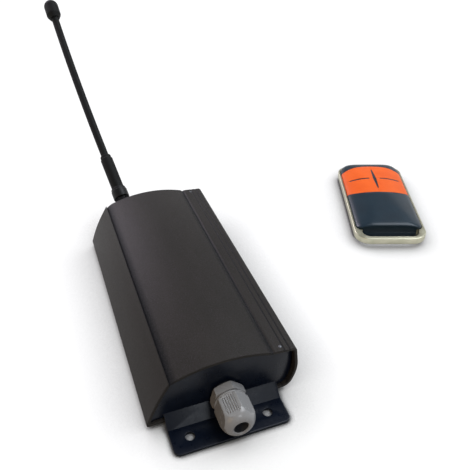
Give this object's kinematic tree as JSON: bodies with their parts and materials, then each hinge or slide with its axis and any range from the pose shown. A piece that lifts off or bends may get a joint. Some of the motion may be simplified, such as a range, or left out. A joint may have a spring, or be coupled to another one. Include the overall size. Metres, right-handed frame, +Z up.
{
  "type": "crane radio remote control",
  "caption": "Surface-mounted radio receiver in an extruded housing with a cable gland and a tilting whip antenna, with its hand transmitter.",
  "frame": {"origin": "centre of the receiver's four foot holes, on the mounting surface", "axes": "+Z up from the mounting surface, +Y along the housing from the cable gland to the antenna, +X to the transmitter's side"},
  "size_m": [0.2314, 0.3329, 0.1137],
  "materials": {
    "housing_powder": "fine-textured charcoal powder coat",
    "cap_plastic": "satin blue-black moulded plastic",
    "seal_rubber": "black seal rubber",
    "gland_nylon": "light grey moulded nylon",
    "antenna_rubber": "black flexible rubber",
    "antenna_plastic": "black moulded plastic",
    "steel": "bright zinc-plated steel",
    "brass": "gold-plated brass",
    "board_green": "green lacquered circuit board",
    "terminal_green": "green moulded terminal housing",
    "relay_blue": "blue moulded relay case",
    "dark_plastic": "black moulded component case",
    "capacitor_sleeve": "dark blue shrink sleeve",
    "fuse_glass": "clear fuse tube",
    "lead_jacket": "brown coaxial jacket",
    "led_red": "red diffused lamp",
    "button_cream": "cream moulded plunger",
    "frame_metal": "champagne satin chrome",
    "fob_gloss": "dark navy gloss shell",
    "key_orange": "orange soft-touch key"
  },
  "bodies": {
    "receiver": {"housing_shell": "housing_powder", "front_end_cap": "cap_plastic", "rear_end_cap": "cap_plastic", "front_cap_seal": "seal_rubber", "rear_cap_seal": "seal_rubber", "floor_screws": "steel", "cap_lock_pins": "steel", "gland_body": "gland_nylon", "gland_washer": "seal_rubber", "gland_clamp": "gland_nylon", "gland_seal": "seal_rubber", "antenna_connector": "brass", "connector_washer": "steel", "connector_nut": "brass", "antenna_coupling": "antenna_plastic", "antenna_lead": "lead_jacket", "receiver_board": "board_green", "terminal_block": "terminal_green", "terminal_screws": "steel", "relays": "relay_blue", "transformer": "dark_plastic", "capacitors": "capacitor_sleeve", "fuse_clips": "steel", "fuse": "fuse_glass", "control_chip": "dark_plastic", "rf_module": "board_green", "status_led": "led_red", "learn_switch": "dark_plastic"},
    "gland_nut": {"gland_dome_nut": "gland_nylon"},
    "learn_plunger": {"learn_button": "button_cream"},
    "antenna_joint": {"antenna_swivel": "antenna_plastic", "knuckle_pin": "steel"},
    "antenna": {"antenna_collar": "antenna_plastic", "antenna_sleeve": "antenna_rubber", "antenna_whip": "antenna_rubber", "antenna_tip": "antenna_rubber"},
    "transmitter": {"loop_frame": "frame_metal", "transmitter_top": "fob_gloss", "transmitter_back": "fob_gloss", "transmitter_board": "board_green", "key_switches": "dark_plastic", "coin_cell": "steel", "battery_clip": "steel", "transmitter_screws": "steel"},
    "upper_left_key": {"key_upper_left": "key_orange"},
    "upper_right_key": {"key_upper_right": "key_orange"},
    "lower_left_key": {"key_lower_left": "key_orange"},
    "lower_right_key": {"key_lower_right": "key_orange"}
  },
  "joints": [
    {"name": "gland_nut_turn", "type": "hinge", "parent": "receiver", "child": "gland_nut", "pos_m": [0.002, -0.0738, 0.0109], "axis": [0, -1, 0], "range_deg": [-720, 0]},
    {"name": "learn_press", "type": "slide", "parent": "receiver", "child": "learn_plunger", "axis": [0, 0, -1], "range_m": [0, 0.00025], "stiffness_N_per_m": 1500},
    {"name": "antenna_swivel_turn", "type": "hinge", "parent": "receiver", "child": "antenna_joint", "pos_m": [-0.0119, 0.084, 0.0208], "axis": [0, 1, 0], "range_deg": [-78, 102]},
    {"name": "antenna_tilt", "type": "hinge", "parent": "antenna_joint", "child": "antenna", "pos_m": [-0.0119, 0.084, 0.0208], "axis": [0.9781, 0, 0.2079], "range_deg": [-31, 59]},
    {"name": "transmitter_lift", "type": "slide", "parent": "receiver", "child": "transmitter", "axis": [0, 0, 1], "range_m": [0, 0.1]},
    {"name": "upper_left_press", "type": "slide", "parent": "transmitter", "child": "upper_left_key", "axis": [0, 0, -1], "range_m": [0, 0.0004], "stiffness_N_per_m": 1500},
    {"name": "upper_right_press", "type": "slide", "parent": "transmitter", "child": "upper_right_key", "axis": [0, 0, -1], "range_m": [0, 0.0004], "stiffness_N_per_m": 1500},
    {"name": "lower_left_press", "type": "slide", "parent": "transmitter", "child": "lower_left_key", "axis": [0, 0, -1], "range_m": [0, 0.0004], "stiffness_N_per_m": 1500},
    {"name": "lower_right_press", "type": "slide", "parent": "transmitter", "child": "lower_right_key", "axis": [0, 0, -1], "range_m": [0, 0.0004], "stiffness_N_per_m": 1500}
  ]
}
